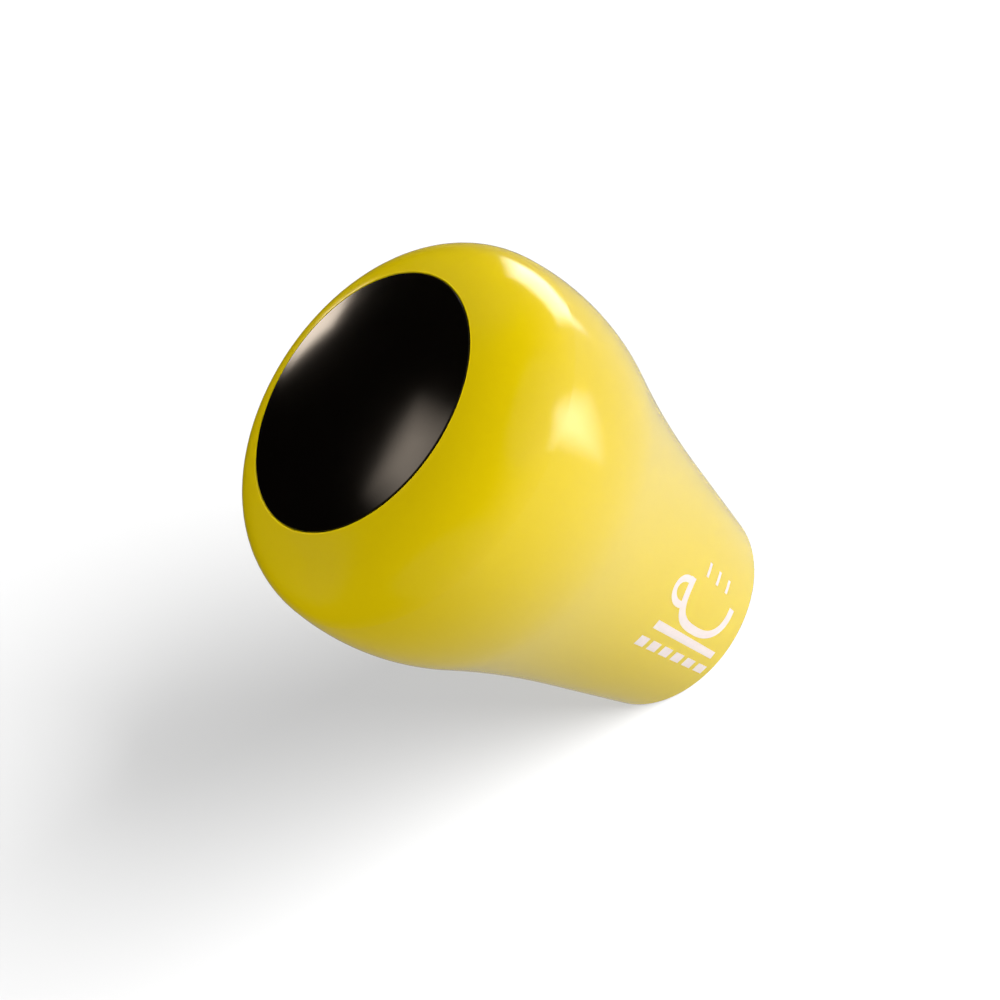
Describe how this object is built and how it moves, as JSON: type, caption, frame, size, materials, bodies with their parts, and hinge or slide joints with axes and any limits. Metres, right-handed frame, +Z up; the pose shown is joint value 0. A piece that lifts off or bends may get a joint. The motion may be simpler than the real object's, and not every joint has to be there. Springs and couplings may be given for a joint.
{
  "type": "espresso tamper handle",
  "caption": "Bulb-shaped handle for a coffee tamper: a turned, gloss-coated grip with a threaded bush in its tapered neck and a domed push-fit cap flush with its top.",
  "frame": {"origin": "centre of the neck's end face, which is the face that the tamper base seats against", "axes": "+Z up the handle's axis, from the neck through the bulb to the cap; +X and +Y are arbitrary, because the outside is round, and the retaining ring's gap faces -Y"},
  "size_m": [0.045, 0.045, 0.0537],
  "materials": {
    "grip_coating": "gloss",
    "stainless_steel": "satin",
    "spring_steel": "satin",
    "turned_aluminium": "satin",
    "nitrile_rubber": "matte",
    "black_acetal": "satin"
  },
  "bodies": {
    "grip": {"grip_body": "grip_coating", "threaded_bush": "stainless_steel", "spring_washer": "spring_steel", "retaining_ring": "spring_steel"},
    "cap": {"cap_dome": "black_acetal", "cap_plug": "turned_aluminium", "cap_screw": "stainless_steel", "lower_o_ring": "nitrile_rubber", "upper_o_ring": "nitrile_rubber"}
  },
  "joints": [
    {"name": "cap_lift", "type": "slide", "parent": "grip", "child": "cap", "axis": [0, 0, 1], "range_m": [0, 0.015]}
  ]
}
